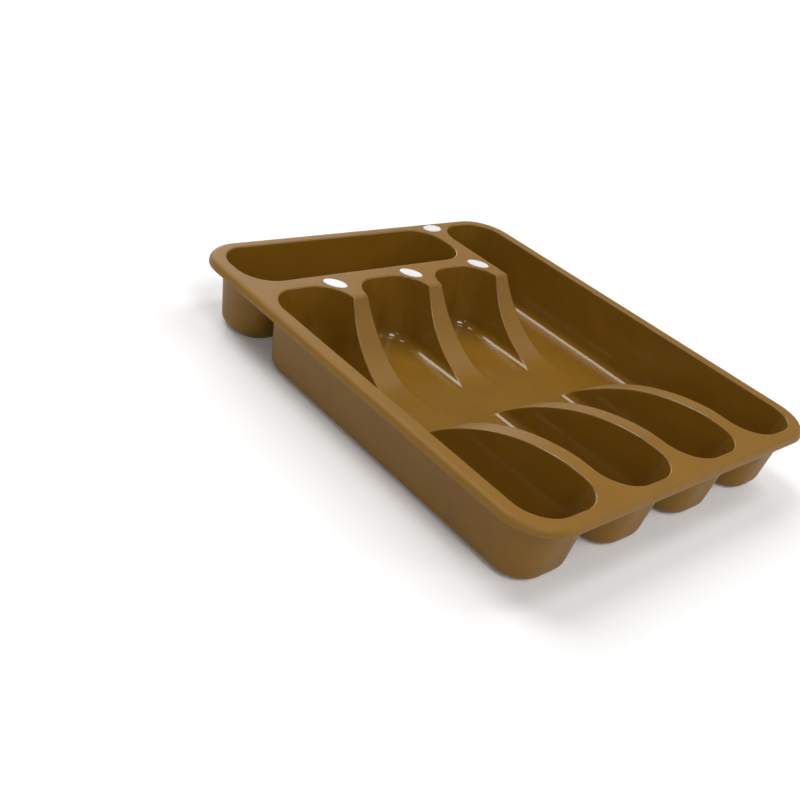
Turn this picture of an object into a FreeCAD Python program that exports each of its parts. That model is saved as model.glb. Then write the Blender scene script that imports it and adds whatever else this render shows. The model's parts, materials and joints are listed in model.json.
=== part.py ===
import FreeCAD, Part
import math
import os
import Sketcher

# Cutlery tray for a kitchen drawer: one thin drafted moulding with five compartments, and four oval
# markers snapped into its rim.
#
# Frame: millimetres, +Z up, underside on z = 0, origin in the middle of the outline.
# +Y points to the short compartment across the back, +X to the long compartment along one side.

# Driving dimensions. Plan sizes of the compartments are taken at their mouths, in the rim's top plane.
SIZES = {
    "height": 46.0,
    "wall": 1.8,
    "draft": 6.6,
    # compartments
    "pocket_width": 53.8,
    "pocket_length": 234.5,
    "long_width": 50.6,
    "corner": 21.0,
    "short_straight": 6.0,
    "floor_round": 6.5,
    "edge_round": 0.6,
    # what stands between the compartments, and the rim around them
    "divider": 11.0,
    "strip": 10.5,
    "side_rim": 10.0,
    "end_rim": 8.5,
    "rim_corner": 28.0,
    "rim_round": 4.2,
    "lip_straight": 0.3,
    "lip_edge": 0.5,
    # side view of the dividers: a hollow sweep down from the back, a flat valley, a swell up to the front
    "break_setback": 19.7,
    "break_round": 3.0,
    "break_rise": 0.05,
    "back_arc": 80.0,
    "valley": 16.6,
    "crest_setback": 20.0,
    "crest_rise": 0.4,
    "runout": 0.05,
    # oval markers and their seats
    "marker_length": 15.6,
    "marker_width": 10.4,
    "marker_end_round": 3.9,
    "marker_stand": 0.4,
    "marker_bevel": 0.3,
    "marker_margin": 2.3,
    "marker_edge": 0.6,
    "seat_depth": 1.0,
    "seat_clearance": 0.1,
    "stud_diameter": 4.0,
    "bead_diameter": 4.7,
    "bead_length": 1.6,
    # how far a cutter passes the face that it opens
    "overshoot": 3.0,
}

# Places worked out from the driving dimensions.
PLACES = {
    "pitch": "sizes.pocket_width + sizes.divider",
    "width": "3 * pitch + sizes.long_width + 2 * sizes.side_rim",
    "short_length": "2 * sizes.corner + sizes.short_straight",
    "length": "sizes.pocket_length + sizes.strip + short_length + 2 * sizes.end_rim",
    "left": "sizes.side_rim - width / 2",
    "front": "sizes.end_rim - length / 2",
    "pocket_back": "front + sizes.pocket_length",
    "short_front": "pocket_back + sizes.strip",
    "short_back": "short_front + short_length",
    "short_width": "3 * pitch - sizes.divider",
    "long_left": "left + 3 * pitch",
    "long_length": "short_back - front",
    "first_middle": "left + sizes.pocket_width / 2",
    "long_middle": "long_left + sizes.long_width / 2",
    "depth": "sizes.height - sizes.wall",
    "lip_drop": "sizes.rim_round + sizes.lip_straight + sizes.lip_edge",
    "lip_low": "sizes.height - lip_drop",
    "crest": "front + sizes.crest_setback",
    "divider_low": "sizes.wall + sizes.runout",
    "back_drop": "sizes.height - divider_low",
    "back_reach": "sqrt(sizes.back_arc ^ 2 - (sizes.back_arc - back_drop) ^ 2)",
    "back_foot": "pocket_back - sizes.break_setback - back_reach - crest",
    "front_drop": "sizes.height + sizes.crest_rise - divider_low",
    "front_reach": "back_foot - sizes.valley",
    "front_arc": "(front_reach ^ 2 + front_drop ^ 2) / (2 * front_drop)",
    "oval_reach": "sizes.marker_length / 2 - sizes.marker_end_round",
    "oval_step": "sizes.marker_width / 2 - sizes.marker_end_round",
    "oval_sink": "(oval_reach ^ 2 - oval_step ^ 2) / (2 * oval_step)",
    "oval_side": "sizes.marker_width / 2 + oval_sink",
    "marker_out": "sizes.corner + sizes.marker_margin + sizes.marker_width / 2",
    "marker_shift": "marker_out * sqrt(0.5) - sizes.corner",
    "seat_level": "sizes.height - sizes.seat_depth",
    "web": "sizes.wall - sizes.seat_depth",
}

# The five compartments: centre in X and Y, width and length.
COMPARTMENTS = [
    (f"places.first_middle + {column} * places.pitch", "(places.front + places.pocket_back) / 2",
     "sizes.pocket_width", "sizes.pocket_length")
    for column in range(3)
] + [
    ("places.long_middle", "(places.front + places.short_back) / 2",
     "sizes.long_width", "places.long_length"),
    ("places.left + places.short_width / 2", "(places.short_front + places.short_back) / 2",
     "places.short_width", "places.short_length"),
]

# The markers: centre in X and Y, and turn. Three lie square to the diagonal of a compartment's back
# right corner, and the fourth lies along the rim, on the neck beside the long compartment.
MARKERS = {
    name: (f"places.left + sizes.pocket_width + {column} * places.pitch + places.marker_shift",
           "places.pocket_back + places.marker_shift", 135)
    for column, name in enumerate(["marker_left", "marker_middle", "marker_right"])
}
MARKERS["marker_rear"] = (
    "places.long_left - sizes.divider / 2",
    "places.length / 2 - sizes.rim_round - sizes.marker_edge - sizes.marker_width / 2",
    0,
)

doc = FreeCAD.newDocument("cutlery_tray")


def make_sheets():
    """One sheet holds the driving dimensions, the other the places that follow from them."""
    sizes = doc.addObject("Spreadsheet::Sheet", "sizes")
    for row, (alias, size) in enumerate(SIZES.items(), start=1):
        sizes.set(f"A{row}", alias)
        sizes.set(f"B{row}", str(size))
        sizes.setAlias(f"B{row}", alias)
    places = doc.addObject("Spreadsheet::Sheet", "places")
    for row, (alias, formula) in enumerate(PLACES.items(), start=1):
        places.set(f"A{row}", alias)
        places.setAlias(f"B{row}", alias)
        places.set(f"B{row}", "=" + formula)
    doc.recompute()


def value(expression):
    """The present value of an expression in the sheets' cells, such as 2 * sizes.wall."""
    return float(doc.getObject("sizes").evalExpression(expression))


def add_sketch(body, name, plane, offset):
    """A sketch on one of the body's origin planes; offset binds the plane's own X, Y and Z shifts."""
    sketch = body.newObject("Sketcher::SketchObject", name)
    support = [feature for feature in body.Origin.OriginFeatures if feature.Role == plane][0]
    sketch.AttachmentSupport = [(support, "")]
    sketch.MapMode = "FlatFace"
    for axis, expression in offset.items():
        sketch.setExpression(f"AttachmentOffset.Base.{axis}", expression)
    return sketch


def turn_sketch(sketch, degrees):
    sketch.AttachmentOffset = FreeCAD.Placement(
        sketch.AttachmentOffset.Base, FreeCAD.Rotation(FreeCAD.Vector(0, 0, 1), degrees))


def bind(sketch, name, expression, *constraint):
    """Adds a dimension to the sketch and ties it to an expression."""
    index = sketch.addConstraint(Sketcher.Constraint(*constraint))
    sketch.renameConstraint(index, name)
    sketch.setExpression(f"Constraints.{name}", expression)


def line(start, end):
    return Part.LineSegment(FreeCAD.Vector(*start, 0), FreeCAD.Vector(*end, 0))


def arc(centre, radius, start_degrees, end_degrees):
    circle = Part.Circle(FreeCAD.Vector(*centre, 0), FreeCAD.Vector(0, 0, 1), radius)
    return Part.ArcOfCircle(circle, math.radians(start_degrees), math.radians(end_degrees))


def draw_rounded_rectangle(sketch, width, length, corner):
    """A rounded rectangle about the sketch's origin."""
    x = value(width) / 2
    y = value(length) / 2
    r = value(corner)
    sketch.addGeometry([
        line((r - x, -y), (x - r, -y)),
        arc((x - r, r - y), r, -90, 0),
        line((x, r - y), (x, y - r)),
        arc((x - r, y - r), r, 0, 90),
        line((x - r, y), (r - x, y)),
        arc((r - x, y - r), r, 90, 180),
        line((-x, y - r), (-x, r - y)),
        arc((r - x, r - y), r, 180, 270),
    ], False)
    for index in range(8):
        sketch.addConstraint(Sketcher.Constraint("Tangent", index, 2, (index + 1) % 8, 1))
    for index in (0, 4):
        sketch.addConstraint(Sketcher.Constraint("Horizontal", index))
    for index in (2, 6):
        sketch.addConstraint(Sketcher.Constraint("Vertical", index))
    for index in (3, 5, 7):
        sketch.addConstraint(Sketcher.Constraint("Equal", 1, index))
    sketch.addConstraint(Sketcher.Constraint("Symmetric", 6, 1, 2, 1, -1, 1))
    bind(sketch, "width", width, "DistanceX", 6, 1, 2, 1, 2 * x)
    bind(sketch, "length", length, "DistanceY", 0, 1, 4, 1, 2 * y)
    bind(sketch, "corner", corner, "Radius", 1, r)


def draw_divider_profile(sketch, walls_in, top):
    """Side view of the dividers, from the sketch's origin under the front crest back over the break.

    With walls_in 0 the lower line is the dividers' upper surface; with 1 it is their inner surface.
    """
    inset = f"{walls_in} * sizes.wall"
    level = value(f"places.divider_low - {inset}")
    foot = value("places.back_foot")
    back = value(f"sizes.back_arc + {inset}")
    front = value(f"places.front_arc - {inset}")
    turn = value(f"sizes.break_round - {inset}")
    crest = value(f"sizes.height + sizes.crest_rise - {inset}")
    brow = value(f"sizes.height + sizes.break_rise - {inset}")
    ceiling = value(top)
    head = level + back
    root = crest - front
    front_angle = math.degrees(math.asin((level - root) / front))
    front_foot = front * math.cos(math.radians(front_angle))
    back_angle = math.degrees(math.asin((brow - turn - head) / (back + turn)))
    shoulder = foot + (back + turn) * math.cos(math.radians(back_angle))
    sketch.addGeometry([
        arc((foot, head), back, -90, back_angle),
        line((foot, level), (front_foot, level)),
        arc((0, root), front, front_angle, 90),
        line((0, crest), (0, ceiling)),
        line((0, ceiling), (shoulder, ceiling)),
        line((shoulder, ceiling), (shoulder, brow)),
        arc((shoulder, brow - turn), turn, 90, 180 + back_angle),
    ], False)
    joints = [(0, 1, 1, 1), (1, 2, 2, 1), (2, 2, 3, 1), (3, 2, 4, 1), (4, 2, 5, 1), (5, 2, 6, 1)]
    for joint in joints:
        sketch.addConstraint(Sketcher.Constraint("Coincident", *joint))
    sketch.addConstraint(Sketcher.Constraint("Tangent", 6, 2, 0, 2))
    for index in (1, 4):
        sketch.addConstraint(Sketcher.Constraint("Horizontal", index))
    for index in (3, 5):
        sketch.addConstraint(Sketcher.Constraint("Vertical", index))
    sketch.addConstraint(Sketcher.Constraint("PointOnObject", 2, 3, -2))
    sketch.addConstraint(Sketcher.Constraint("PointOnObject", 2, 2, -2))
    sketch.addConstraint(Sketcher.Constraint("Vertical", 0, 3, 1, 1))
    sketch.addConstraint(Sketcher.Constraint("Vertical", 6, 3, 6, 1))
    bind(sketch, "back", f"sizes.back_arc + {inset}", "Radius", 0, back)
    bind(sketch, "front", f"places.front_arc - {inset}", "Radius", 2, front)
    bind(sketch, "turn", f"sizes.break_round - {inset}", "Radius", 6, turn)
    bind(sketch, "level", f"places.divider_low - {inset}", "DistanceY", -1, 1, 1, 1, level)
    bind(sketch, "crest", f"sizes.height + sizes.crest_rise - {inset}", "DistanceY", -1, 1, 2, 2, crest)
    bind(sketch, "brow", f"sizes.height + sizes.break_rise - {inset}", "DistanceY", -1, 1, 6, 1, brow)
    bind(sketch, "foot", "places.back_foot", "DistanceX", -1, 1, 1, 1, foot)
    bind(sketch, "top", top, "DistanceY", -1, 1, 4, 1, ceiling)


def draw_oval(sketch, clearances_out):
    """An oval of four arcs about the sketch's origin, long in X, set out by some clearances."""
    gap = f"{clearances_out} * sizes.seat_clearance"
    reach = value("places.oval_reach")
    sink = value("places.oval_sink")
    end = value(f"sizes.marker_end_round + {gap}")
    side = value(f"places.oval_side + {gap}")
    turn = math.degrees(math.atan2(sink, reach))
    sketch.addGeometry([
        arc((reach, 0), end, -turn, turn),
        arc((0, -sink), side, turn, 180 - turn),
        arc((-reach, 0), end, 180 - turn, 180 + turn),
        arc((0, sink), side, 180 + turn, 360 - turn),
    ], False)
    sketch.addConstraint(Sketcher.Constraint("Tangent", 0, 2, 1, 1))
    for index in (1, 2, 3):
        sketch.addConstraint(Sketcher.Constraint("Coincident", index, 2, (index + 1) % 4, 1))
    sketch.addConstraint(Sketcher.Constraint("Symmetric", 1, 1, 1, 2, -2))
    sketch.addConstraint(Sketcher.Constraint("Symmetric", 2, 1, 2, 2, -1))
    sketch.addConstraint(Sketcher.Constraint("Symmetric", 3, 1, 3, 2, -2))
    sketch.addConstraint(Sketcher.Constraint("Equal", 0, 2))
    sketch.addConstraint(Sketcher.Constraint("Equal", 1, 3))
    bind(sketch, "end", f"sizes.marker_end_round + {gap}", "Radius", 0, end)
    bind(sketch, "side", f"places.oval_side + {gap}", "Radius", 1, side)
    bind(sketch, "reach", "places.oval_reach", "DistanceX", -1, 1, 0, 3, reach)


def draw_circle(sketch, diameter):
    radius = value("sizes.stud_diameter") / 2
    circle = Part.Circle(FreeCAD.Vector(0, 0, 0), FreeCAD.Vector(0, 0, 1), radius)
    sketch.addGeometry(circle, False)
    sketch.addConstraint(Sketcher.Constraint("Coincident", 0, 3, -1, 1))
    bind(sketch, "diameter", diameter, "Diameter", 0, 2 * radius)


def extrude(body, kind, sketch, length, side="One side", taper=None, upward=False):
    """A pad or pocket whose length is an expression, downward from its sketch unless told upward."""
    feature = body.newObject(f"PartDesign::{kind}", sketch.Name + "_" + kind.lower())
    feature.Profile = sketch
    feature.SideType = side
    feature.setExpression("Length", length)
    if taper:
        feature.setExpression("TaperAngle", taper)
    # a pad grows along its sketch's normal and a pocket against it
    feature.Reversed = upward == (kind == "Pocket")
    doc.recompute()
    return feature


def edges_at(shape, level, reach_x=math.inf, reach_y=math.inf):
    """Names of the edges that lie flat at one height, within a reach of the middle in X and Y."""
    names = []
    for index, edge in enumerate(shape.Edges, start=1):
        box = edge.BoundBox
        flat = abs(box.ZMin - level) < 1e-4 and abs(box.ZMax - level) < 1e-4
        near = max(-box.XMin, box.XMax) < reach_x and max(-box.YMin, box.YMax) < reach_y
        if flat and near:
            names.append(f"Edge{index}")
    return names


def round_edges(body, name, edges, radius):
    """Rounds some edges of the body as it stands."""
    base = body.Tip
    fillet = body.newObject("PartDesign::Fillet", name)
    fillet.Base = (base, edges)
    fillet.setExpression("Radius", radius)
    doc.recompute()


def make_rim(body):
    """The flat top with its rolled edge and turned-down lip, open beneath."""
    outline = add_sketch(body, "rim_outline", "XY_Plane", {"z": "sizes.height"})
    draw_rounded_rectangle(outline, "places.width", "places.length", "sizes.rim_corner")
    extrude(body, "Pad", outline, "places.lip_drop")
    round_edges(body, "rim_roll", edges_at(body.Tip.Shape, value("sizes.height")), "sizes.rim_round")
    round_edges(body, "lip_round", edges_at(body.Tip.Shape, value("places.lip_low")), "sizes.lip_edge")
    under = add_sketch(body, "rim_under", "XY_Plane", {"z": "places.lip_low"})
    draw_rounded_rectangle(under, "places.width - 2 * sizes.wall", "places.length - 2 * sizes.wall",
                           "sizes.rim_corner - sizes.wall")
    extrude(body, "Pocket", under, "places.lip_drop - sizes.wall", upward=True)
    edges = edges_at(body.Tip.Shape, value("places.depth"))
    round_edges(body, "rim_hollow", edges, "sizes.rim_round - sizes.wall")


def add_tubs(body, name, walls_out, depth, bottom_round):
    """Drafted blocks, one for each compartment, hanging from the rim's top plane, rounded below.

    With walls_out 0 they are the compartments' inside, with 1 their outside.
    """
    out = f"{walls_out} * sizes.wall"
    for index, (x, y, width, length) in enumerate(COMPARTMENTS, start=1):
        sketch = add_sketch(body, f"{name}_{index}", "XY_Plane", {"x": x, "y": y, "z": "sizes.height"})
        draw_rounded_rectangle(sketch, f"{width} + 2 * {out}", f"{length} + 2 * {out}",
                               f"sizes.corner + {out}")
        extrude(body, "Pad", sketch, depth, taper="-sizes.draft")
    edges = edges_at(body.Tip.Shape, value(f"sizes.height - {depth}"))
    round_edges(body, f"{name}_bottoms", edges, bottom_round)


def make_hollows():
    """The space inside the compartments, as a cutter."""
    body = doc.addObject("PartDesign::Body", "hollows")
    add_tubs(body, "hollow", 0, "places.depth", "sizes.floor_round")
    return body


def make_compartments(body):
    """Drafted tubs under the rim, the dividers' cores between them, then the hollows and divider tops.

    The mouths are rounded while they're still whole, in the rim's top plane.
    """
    add_tubs(body, "tub", 1, "sizes.height", "sizes.floor_round + sizes.wall")
    make_divider_cut(body, "divider_core", "Pad", 1, "sizes.height - sizes.wall / 2")
    hollows = make_hollows()
    cut = body.newObject("PartDesign::Boolean", "hollowed")
    cut.Type = "Cut"
    cut.Group = [hollows]
    doc.recompute()
    round_mouths(body)
    make_divider_cut(body, "divider_tops", "Pocket", 0, "sizes.height + sizes.overshoot")


def round_mouths(body):
    """Rounds the compartments' edges all round, in the rim's top plane."""
    reach_x = value("(places.width - sizes.side_rim - sizes.rim_round) / 2")
    reach_y = value("(places.length - sizes.end_rim - sizes.rim_round) / 2")
    mouths = edges_at(body.Tip.Shape, value("sizes.height"), reach_x, reach_y)
    round_edges(body, "mouth_edges", mouths, "sizes.edge_round")


def make_divider_cut(body, name, kind, walls_in, top):
    """The dividers' side view, drawn through from the first compartment's middle to the long one's."""
    middle = "(places.first_middle + places.long_middle) / 2"
    sketch = add_sketch(body, name, "YZ_Plane", {"x": "places.crest", "z": middle})
    draw_divider_profile(sketch, walls_in, top)
    extrude(body, kind, sketch, "places.long_middle - places.first_middle", side="Symmetric")


def make_seats(body):
    """An oval recess for each marker, with a hole for its stud."""
    for name, (x, y, turn) in MARKERS.items():
        place = {"x": x, "y": y, "z": "sizes.height"}
        recess = add_sketch(body, f"{name}_recess", "XY_Plane", place)
        turn_sketch(recess, turn)
        draw_oval(recess, 1)
        extrude(body, "Pocket", recess, "sizes.seat_depth")
        hole = add_sketch(body, f"{name}_hole", "XY_Plane", place)
        draw_circle(hole, "sizes.stud_diameter + 2 * sizes.seat_clearance")
        extrude(body, "Pocket", hole, "sizes.wall + sizes.overshoot")


def make_tray():
    body = doc.addObject("PartDesign::Body", "tray")
    body.Label = "tray"
    make_rim(body)
    make_compartments(body)
    make_seats(body)
    return body


def draw_stud(sketch):
    """Half section of a marker's stud, from the cap's underside down past the retaining bead."""
    stud = value("sizes.stud_diameter") / 2
    bead = value("sizes.bead_diameter") / 2
    shoulder = -value("places.web") - value("sizes.seat_clearance")
    tip = shoulder - value("sizes.bead_length")
    corners = [(0, 0), (stud, 0), (stud, shoulder), (bead, shoulder), (stud, tip), (0, tip)]
    count = len(corners)
    sketch.addGeometry([line(corners[i], corners[(i + 1) % count]) for i in range(count)], False)
    for index in range(count):
        sketch.addConstraint(Sketcher.Constraint("Coincident", index, 2, (index + 1) % count, 1))
    for index in (0, 2, 4):
        sketch.addConstraint(Sketcher.Constraint("Horizontal", index))
    for index in (1, 5):
        sketch.addConstraint(Sketcher.Constraint("Vertical", index))
    sketch.addConstraint(Sketcher.Constraint("Coincident", 0, 1, -1, 1))
    bind(sketch, "stud", "sizes.stud_diameter / 2", "DistanceX", 0, 1, 0, 2, stud)
    bind(sketch, "tip", "sizes.stud_diameter / 2", "DistanceX", 4, 2, 4, 1, stud)
    bind(sketch, "bead", "sizes.bead_diameter / 2", "DistanceX", -1, 1, 2, 2, bead)
    bind(sketch, "neck", "places.web + sizes.seat_clearance", "DistanceY", 1, 2, 1, 1, -shoulder)
    bind(sketch, "nose", "sizes.bead_length", "DistanceY", 3, 2, 3, 1, shoulder - tip)


def make_marker(name, x, y, turn):
    """A bevelled oval cap that stands a little proud of its seat, with a snap stud beneath."""
    body = doc.addObject("PartDesign::Body", name)
    body.Label = name
    cap = add_sketch(body, f"{name}_cap", "XY_Plane", {})
    draw_oval(cap, 0)
    plate = extrude(body, "Pad", cap, "sizes.seat_depth + sizes.marker_stand", upward=True)
    bevel = body.newObject("PartDesign::Chamfer", f"{name}_bevel")
    bevel.Base = (plate, edges_at(plate.Shape, value("sizes.seat_depth + sizes.marker_stand")))
    bevel.setExpression("Size", "sizes.marker_bevel")
    doc.recompute()
    section = add_sketch(body, f"{name}_stud", "XZ_Plane", {})
    draw_stud(section)
    stud = body.newObject("PartDesign::Revolution", f"{name}_stud_turned")
    stud.Profile = section
    stud.ReferenceAxis = (section, ["V_Axis"])
    stud.Angle = 360
    body.Placement.Rotation = FreeCAD.Rotation(FreeCAD.Vector(0, 0, 1), turn)
    body.setExpression("Placement.Base.x", x)
    body.setExpression("Placement.Base.y", y)
    body.setExpression("Placement.Base.z", "places.seat_level")
    doc.recompute()
    return body


def check(pieces):
    """Stops the build if a feature failed or a piece isn't one valid solid."""
    for item in doc.Objects:
        if "Invalid" in item.State or "Error" in item.State:
            raise RuntimeError(f"{item.Name} failed: {item.State}")
    for piece in pieces:
        shape = piece.Shape
        if shape.isNull() or not shape.isValid() or len(shape.Solids) != 1:
            raise RuntimeError(f"{piece.Label} isn't one valid solid")


def main():
    make_sheets()
    pieces = [make_tray()]
    for name, place in MARKERS.items():
        pieces.append(make_marker(name, *place))
    doc.recompute()
    check(pieces)
    os.makedirs("parts", exist_ok=True)
    for piece in pieces:
        piece.Shape.exportStep(f"parts/{piece.Label}.step")
        print(piece.Label, "volume", round(piece.Shape.Volume, 1), "box", piece.Shape.BoundBox)


main()
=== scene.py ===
import json

import bpy
import numpy as np
from mathutils import Euler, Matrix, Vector

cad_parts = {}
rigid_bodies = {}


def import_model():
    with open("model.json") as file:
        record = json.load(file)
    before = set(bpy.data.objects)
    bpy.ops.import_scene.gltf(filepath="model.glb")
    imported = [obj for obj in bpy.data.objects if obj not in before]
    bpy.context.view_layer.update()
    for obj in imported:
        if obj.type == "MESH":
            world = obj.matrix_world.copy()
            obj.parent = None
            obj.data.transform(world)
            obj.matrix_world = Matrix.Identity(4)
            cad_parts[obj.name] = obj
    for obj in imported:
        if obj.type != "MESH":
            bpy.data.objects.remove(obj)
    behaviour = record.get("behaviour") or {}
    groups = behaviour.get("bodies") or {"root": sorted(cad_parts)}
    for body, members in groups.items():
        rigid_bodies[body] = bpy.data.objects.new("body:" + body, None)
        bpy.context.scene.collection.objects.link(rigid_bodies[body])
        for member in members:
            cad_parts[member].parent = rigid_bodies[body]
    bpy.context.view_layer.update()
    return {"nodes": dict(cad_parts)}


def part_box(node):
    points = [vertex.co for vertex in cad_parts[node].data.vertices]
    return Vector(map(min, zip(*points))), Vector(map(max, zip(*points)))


for leftover in list(bpy.data.objects):
    bpy.data.objects.remove(leftover)

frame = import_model()

TRAY = frame["nodes"]["tray"]
MARKERS = [node for name, node in frame["nodes"].items() if name.startswith("marker")]

# Sizes in metres, in the same frame as the solids. The spread is what a divider gains with depth.
MM = 0.001
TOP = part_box("tray")[1].z
HALF_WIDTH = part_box("tray")[1].x
HALF_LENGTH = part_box("tray")[1].y
RIM_CORNER = 28.0 * MM
RIM_WIDTH = 6.0 * MM
EDGE_ROUND = 0.6 * MM
FIRST_DIVIDER = -63.2 * MM
DIVIDER_PITCH = 64.8 * MM
DIVIDER_MIDDLES = [FIRST_DIVIDER + step * DIVIDER_PITCH for step in range(3)]
DIVIDER_HALF_WIDTH = 5.6 * MM
DIVIDER_SPREAD = 0.116
SWEEP_SATIN_ABOVE = 14.0 * MM

# How polished parts of the tray are, from 0 for a satin grain to 1.
FLOOR_GLOSS = 0.55
MOUTH_GLOSS = 0.5

# How far the tray's faces look up or aside: an upright wall looks up by 0, a level floor by 1.
INSIDE_LOOKS_UP = 0.02
SWEEP_LOOKS_UP = 0.3
SWEEP_LOOKS_ASIDE = 0.03
MOUTH_LOOKS_UP = (0.12, 0.98)
FLOOR_LOOKS_UP = (0.88, 1.0)

# The floor and the wall round it, in metres.
FLOOR_SIZE = 24.0
FLOOR_GAP = 0.2 * MM
BACKDROP_RADIUS = 10.0
BACKDROP_HEIGHT = 1.8
BACKDROP_SUNK = 0.1

# Their glow, which grows between two distances from the tray.
NEAR_FLOOR = 1.0
FAR_FLOOR = 5.0
FLOOR_GLOW = 0.08
BACKDROP_GLOW = 0.85

# How far off the lamps stand, in metres.
SOFTBOX_DISTANCE = 6.0

# The photograph's view, in metres and degrees, with its lens and sensor in millimetres.
CAMERA_PLACE = (-0.45866, -0.34114, 0.31452)
CAMERA_TURN = (58.632, -13.489, -40.042)
LENS_LENGTH = 45.1
SENSOR_WIDTH = 36.0

# Colours, linear.
BROWN = (0.265, 0.128, 0.012, 1.0)
BROWN_DEEP = (0.248, 0.118, 0.011, 1.0)
# The polished browns are darker than the satin ones: painted shade inside the compartments.
POLISHED_BROWN_SHADED = (0.228, 0.110, 0.010, 1.0)
POLISHED_DEEP_SHADED = (0.214, 0.102, 0.009, 1.0)
WARM_SHINE = (1.0, 0.93, 0.82, 1.0)
MARKER_WHITE = (0.91, 0.91, 0.90, 1.0)
MARKER_SHADE = (0.86, 0.86, 0.85, 1.0)
FLOOR_WHITE = (0.97, 0.97, 0.97, 1.0)
FLOOR_BOUNCE = (0.65, 0.65, 0.65, 1.0)


def smoothstep(low, high, value):
    """A smooth step from 0 at the low value to 1 at the high one."""
    t = np.clip((value - low) / (high - low), 0.0, 1.0)
    return t * t * (3.0 - 2.0 * t)


def inset(x, y):
    """How far in from the tray's rounded outline points lie, up to its corner radius."""
    past_x = np.maximum(np.abs(x) - (HALF_WIDTH - RIM_CORNER), 0.0)
    past_y = np.maximum(np.abs(y) - (HALF_LENGTH - RIM_CORNER), 0.0)
    return RIM_CORNER - np.hypot(past_x, past_y)


def mark_gloss(tray):
    """Stores how polished the tray is at each corner of its faces.

    The compartments' walls are 1, their floors and mouths less, and the rim and the outside 0, with a
    satin grain. The dividers' swept tops go from satin to the floors' gloss where they run out. The same
    value darkens the base colour there, as painted shade in the compartments.
    """
    mesh = tray.data
    faces = len(mesh.polygons)
    centres = np.zeros(faces * 3, np.float32)
    normals = np.zeros(faces * 3, np.float32)
    sides = np.zeros(faces, np.int32)
    mesh.polygons.foreach_get("center", centres)
    mesh.polygons.foreach_get("normal", normals)
    mesh.polygons.foreach_get("loop_total", sides)
    x, y, z = centres.reshape(-1, 3).T
    aside, _, up = normals.reshape(-1, 3).T
    off_divider = np.min([np.abs(x - middle) for middle in DIVIDER_MIDDLES], axis=0)
    divider_half_width = DIVIDER_HALF_WIDTH + DIVIDER_SPREAD * (TOP - z)
    within = inset(x, y) > RIM_WIDTH
    inside = within & (z < TOP - EDGE_ROUND) & (up > INSIDE_LOOKS_UP)
    on_divider = inside & (off_divider < divider_half_width)
    swept = on_divider & (np.abs(aside) < SWEEP_LOOKS_ASIDE) & (up > SWEEP_LOOKS_UP)
    mouth = within & (z > TOP - EDGE_ROUND) & (up > MOUTH_LOOKS_UP[0]) & (up < MOUTH_LOOKS_UP[1])
    face_gloss = np.where(inside, 1.0 - (1.0 - FLOOR_GLOSS) * smoothstep(*FLOOR_LOOKS_UP, up), 0.0)
    face_gloss = np.where(mouth, MOUTH_GLOSS, face_gloss)

    corners = np.zeros(len(mesh.loops), np.int32)
    points = np.zeros(len(mesh.vertices) * 3, np.float32)
    mesh.loops.foreach_get("vertex_index", corners)
    mesh.vertices.foreach_get("co", points)
    corner_z = points.reshape(-1, 3)[corners, 2]
    sweep_gloss = FLOOR_GLOSS * (1.0 - smoothstep(0.0, SWEEP_SATIN_ABOVE, corner_z))
    gloss_and_inner_shade = np.where(np.repeat(swept, sides), sweep_gloss, np.repeat(face_gloss, sides))
    mesh.attributes.new("gloss_and_inner_shade", "FLOAT", "CORNER").data.foreach_set("value", gloss_and_inner_shade.astype(np.float32))


def new_material(name):
    """An empty material with a Principled shader on its output."""
    material = bpy.data.materials.new(name)
    material.use_nodes = True
    nodes = material.node_tree.nodes
    nodes.clear()
    output = nodes.new("ShaderNodeOutputMaterial")
    shader = nodes.new("ShaderNodeBsdfPrincipled")
    material.node_tree.links.new(shader.outputs["BSDF"], output.inputs["Surface"])
    return material, nodes, material.node_tree.links, shader


def noise(nodes, links, coordinates, feature, detail=3.0, stretch=(1.0, 1.0, 1.0)):
    """Noise whose features are about so many metres across, drawn out along the stretched axes."""
    mapping = nodes.new("ShaderNodeMapping")
    mapping.inputs["Scale"].default_value = [1.0 / (feature * axis) for axis in stretch]
    links.new(coordinates.outputs["Object"], mapping.inputs["Vector"])
    texture = nodes.new("ShaderNodeTexNoise")
    texture.inputs["Scale"].default_value = 1.0
    texture.inputs["Detail"].default_value = detail
    links.new(mapping.outputs["Vector"], texture.inputs["Vector"])
    return texture.outputs["Fac"]


def scaled(nodes, links, value, low, high):
    """A value that runs from 0 to 1, brought to another range."""
    span = nodes.new("ShaderNodeMapRange")
    span.inputs["To Min"].default_value = low
    span.inputs["To Max"].default_value = high
    links.new(value, span.inputs["Value"])
    return span.outputs["Result"]


def mixed(nodes, links, factor, first, second):
    """A blend of two numbers by a factor."""
    mix = nodes.new("ShaderNodeMix")
    links.new(factor, mix.inputs["Factor"])
    links.new(first, mix.inputs["A"])
    links.new(second, mix.inputs["B"])
    return mix.outputs["Result"]


def combined(nodes, links, operation, first, second):
    """Two numbers brought together by a math operation."""
    step = nodes.new("ShaderNodeMath")
    step.operation = operation
    links.new(first, step.inputs[0])
    links.new(second, step.inputs[1])
    return step.outputs["Value"]


def two_tone(nodes, links, value, dark, light):
    """A colour that drifts between two tones with a noise."""
    ramp = nodes.new("ShaderNodeValToRGB")
    ramp.color_ramp.elements[0].position = 0.30
    ramp.color_ramp.elements[0].color = dark
    ramp.color_ramp.elements[1].position = 0.60
    ramp.color_ramp.elements[1].color = light
    links.new(value, ramp.inputs["Fac"])
    return ramp.outputs["Color"]


def softened_edges(nodes, radius):
    """Normals that turn smoothly over the edges, as a moulding's do."""
    edge = nodes.new("ShaderNodeBevel")
    edge.samples = 8
    edge.inputs["Radius"].default_value = radius
    return edge.outputs["Normal"]


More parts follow.
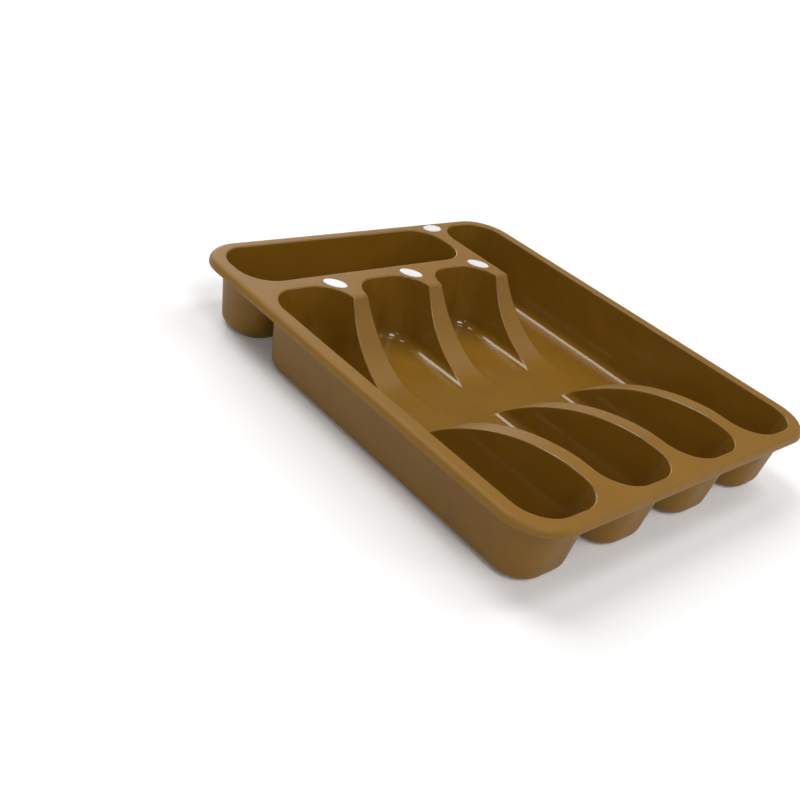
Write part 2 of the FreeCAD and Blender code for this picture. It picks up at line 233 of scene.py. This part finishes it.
def edge_mask(nodes, links, softened):
    """1 where the softened normals turn away from the surface's own, at an edge, and 0 elsewhere."""
    surface = nodes.new("ShaderNodeNewGeometry")
    match = nodes.new("ShaderNodeVectorMath")
    match.operation = "DOT_PRODUCT"
    links.new(softened, match.inputs[0])
    links.new(surface.outputs["Normal"], match.inputs[1])
    turned = nodes.new("ShaderNodeMapRange")
    turned.inputs["From Min"].default_value = 0.985
    turned.inputs["From Max"].default_value = 0.90
    links.new(match.outputs["Value"], turned.inputs["Value"])
    return turned.outputs["Result"]


def bump(nodes, links, height, strength, distance, under):
    """Relief of a height map, over other normals."""
    relief = nodes.new("ShaderNodeBump")
    relief.inputs["Strength"].default_value = strength
    relief.inputs["Distance"].default_value = distance
    links.new(height, relief.inputs["Height"])
    links.new(under, relief.inputs["Normal"])
    return relief.outputs["Normal"]


def tray_plastic():
    """Golden brown moulded plastic: fine satin grain outside, polished with faint flow marks inside,
    where a darker brown paints shade.
    """
    material, nodes, links, shader = new_material("tray_plastic")
    coordinates = nodes.new("ShaderNodeTexCoord")
    gloss_and_inner_shade = nodes.new("ShaderNodeAttribute")
    gloss_and_inner_shade.attribute_name = "gloss_and_inner_shade"
    polish_and_inner_shade = gloss_and_inner_shade.outputs["Fac"]

    mottle = noise(nodes, links, coordinates, feature=22.0 * MM)
    # The base colour darkens where the tray is polished: painted shade in the compartments' hollows.
    tone = nodes.new("ShaderNodeMixRGB")
    links.new(polish_and_inner_shade, tone.inputs["Fac"])
    links.new(two_tone(nodes, links, mottle, BROWN_DEEP, BROWN), tone.inputs["Color1"])
    links.new(two_tone(nodes, links, mottle, POLISHED_DEEP_SHADED, POLISHED_BROWN_SHADED), tone.inputs["Color2"])
    links.new(tone.outputs["Color"], shader.inputs["Base Color"])

    grain = noise(nodes, links, coordinates, feature=0.9 * MM, detail=2.0)
    flow = noise(nodes, links, coordinates, feature=5.0 * MM, detail=2.0, stretch=(1.0, 1.0, 7.0))
    softened = softened_edges(nodes, radius=1.5 * MM)
    satin_roughness = scaled(nodes, links, grain, low=0.44, high=0.56)
    polished_roughness = scaled(nodes, links, flow, low=0.08, high=0.13)
    surface_roughness = mixed(nodes, links, polish_and_inner_shade, satin_roughness, polished_roughness)
    edge_roughness = scaled(nodes, links, grain, low=0.16, high=0.26)
    at_edge = edge_mask(nodes, links, softened)
    links.new(mixed(nodes, links, at_edge, surface_roughness, edge_roughness), shader.inputs["Roughness"])
    shader.inputs["Specular Tint"].default_value = WARM_SHINE
    shine = scaled(nodes, links, polish_and_inner_shade, low=0.4, high=0.6)
    edge_shine = scaled(nodes, links, at_edge, low=0.0, high=0.7)
    links.new(combined(nodes, links, "ADD", shine, edge_shine), shader.inputs["Specular IOR Level"])

    smoothed = scaled(nodes, links, polish_and_inner_shade, low=1.0, high=0.03)
    grain_height = combined(nodes, links, "MULTIPLY", grain, smoothed)
    waves = bump(nodes, links, flow, strength=0.06, distance=0.06 * MM, under=softened)
    relief = bump(nodes, links, grain_height, strength=0.6, distance=0.04 * MM, under=waves)
    links.new(relief, shader.inputs["Normal"])
    return material


def marker_plastic():
    """Plain white moulded plastic, semi-gloss."""
    material, nodes, links, shader = new_material("marker_plastic")
    coordinates = nodes.new("ShaderNodeTexCoord")
    mottle = noise(nodes, links, coordinates, feature=4.0 * MM)
    links.new(two_tone(nodes, links, mottle, MARKER_SHADE, MARKER_WHITE), shader.inputs["Base Color"])
    grain = noise(nodes, links, coordinates, feature=0.4 * MM, detail=2.0)
    links.new(scaled(nodes, links, grain, low=0.25, high=0.35), shader.inputs["Roughness"])
    softened = softened_edges(nodes, radius=0.2 * MM)
    relief = bump(nodes, links, grain, strength=0.15, distance=0.02 * MM, under=softened)
    links.new(relief, shader.inputs["Normal"])
    return material


def dress(node, material):
    """Gives a piece one material all over."""
    node.data.materials.clear()
    node.data.materials.append(material)


def floor_white():
    """White to look at, more so further off, which throws back less light than it shows."""
    material, nodes, links, shader = new_material("floor_white")
    rays = nodes.new("ShaderNodeLightPath")
    seen = rays.outputs["Is Camera Ray"]
    for kind in ("Is Glossy Ray", "Is Transmission Ray"):
        seen = combined(nodes, links, "MAXIMUM", seen, rays.outputs[kind])
    tone = nodes.new("ShaderNodeMixRGB")
    tone.inputs["Color1"].default_value = FLOOR_BOUNCE
    tone.inputs["Color2"].default_value = FLOOR_WHITE
    links.new(seen, tone.inputs["Fac"])
    links.new(tone.outputs["Color"], shader.inputs["Base Color"])
    shader.inputs["Roughness"].default_value = 0.9
    shader.inputs["Specular IOR Level"].default_value = 0.0

    coordinates = nodes.new("ShaderNodeTexCoord")
    away = nodes.new("ShaderNodeVectorMath")
    away.operation = "LENGTH"
    links.new(coordinates.outputs["Object"], away.inputs[0])
    glow = nodes.new("ShaderNodeMapRange")
    glow.inputs["From Min"].default_value = NEAR_FLOOR
    glow.inputs["From Max"].default_value = FAR_FLOOR
    glow.inputs["To Min"].default_value = FLOOR_GLOW
    glow.inputs["To Max"].default_value = BACKDROP_GLOW
    links.new(away.outputs["Value"], glow.inputs["Value"])
    shown = combined(nodes, links, "MULTIPLY", seen, glow.outputs["Result"])
    links.new(shown, shader.inputs["Emission Strength"])
    return material


def add_floor():
    """A plain floor just under the tray, with a low wall far off all round it."""
    bpy.ops.mesh.primitive_plane_add(size=FLOOR_SIZE, location=(0.0, 0.0, -FLOOR_GAP))
    floor = bpy.context.object
    floor.name = "floor"
    bpy.ops.mesh.primitive_cylinder_add(
        vertices=96, radius=BACKDROP_RADIUS, depth=BACKDROP_HEIGHT, end_fill_type="NOTHING",
        location=(0.0, 0.0, BACKDROP_HEIGHT / 2.0 - BACKDROP_SUNK))
    backdrop = bpy.context.object
    backdrop.name = "backdrop"
    white = floor_white()
    for surface in (floor, backdrop):
        dress(surface, white)


def add_world(strength):
    """Even light from all round."""
    world = bpy.data.worlds.new("studio")
    bpy.context.scene.world = world
    world.use_nodes = True
    background = world.node_tree.nodes["Background"]
    background.inputs["Color"].default_value = (1.0, 1.0, 1.0, 1.0)
    background.inputs["Strength"].default_value = strength


def add_softbox(name, direction, width, height, watts):
    """A rectangular lamp that faces the tray from a direction, far off so that it lights evenly."""
    lamp = bpy.data.lights.new(name, "AREA")
    lamp.shape = "RECTANGLE"
    lamp.size = width
    lamp.size_y = height
    lamp.energy = watts
    holder = bpy.data.objects.new(name, lamp)
    towards = Vector(direction).normalized()
    holder.location = towards * SOFTBOX_DISTANCE
    holder.rotation_euler = towards.to_track_quat("Z", "Y").to_euler()
    bpy.context.scene.collection.objects.link(holder)


def add_camera():
    """The photograph's view: low over the front left corner, rolled as the tray leans there."""
    lens = bpy.data.cameras.new("camera")
    lens.sensor_width = SENSOR_WIDTH
    lens.lens = LENS_LENGTH
    holder = bpy.data.objects.new("camera", lens)
    holder.location = CAMERA_PLACE
    holder.rotation_euler = Euler(np.radians(CAMERA_TURN))
    bpy.context.scene.collection.objects.link(holder)
    bpy.context.scene.camera = holder


mark_gloss(TRAY)
dress(TRAY, tray_plastic())
marker_material = marker_plastic()
for marker in MARKERS:
    dress(marker, marker_material)

add_floor()
add_world(strength=0.12)
add_softbox("softbox_above", (0.42, -0.08, 0.905), width=1.4, height=4.4, watts=84.0)
add_softbox("softbox_behind", (-0.14, 0.47, 0.87), width=2.6, height=3.2, watts=145.0)
add_softbox("softbox_front", (-0.24, -0.57, 0.78), width=2.0, height=2.4, watts=118.0)
add_softbox("softbox_front_right", (0.62, -0.65, 0.43), width=1.0, height=1.8, watts=38.0)
add_softbox("softbox_left", (-0.78, -0.55, 0.28), width=1.2, height=1.2, watts=24.0)
add_softbox("softbox_backdrop", (0.34, 0.88, 0.32), width=4.2, height=2.4, watts=100.0)
add_camera()
bpy.context.scene.view_settings.view_transform = "Standard"
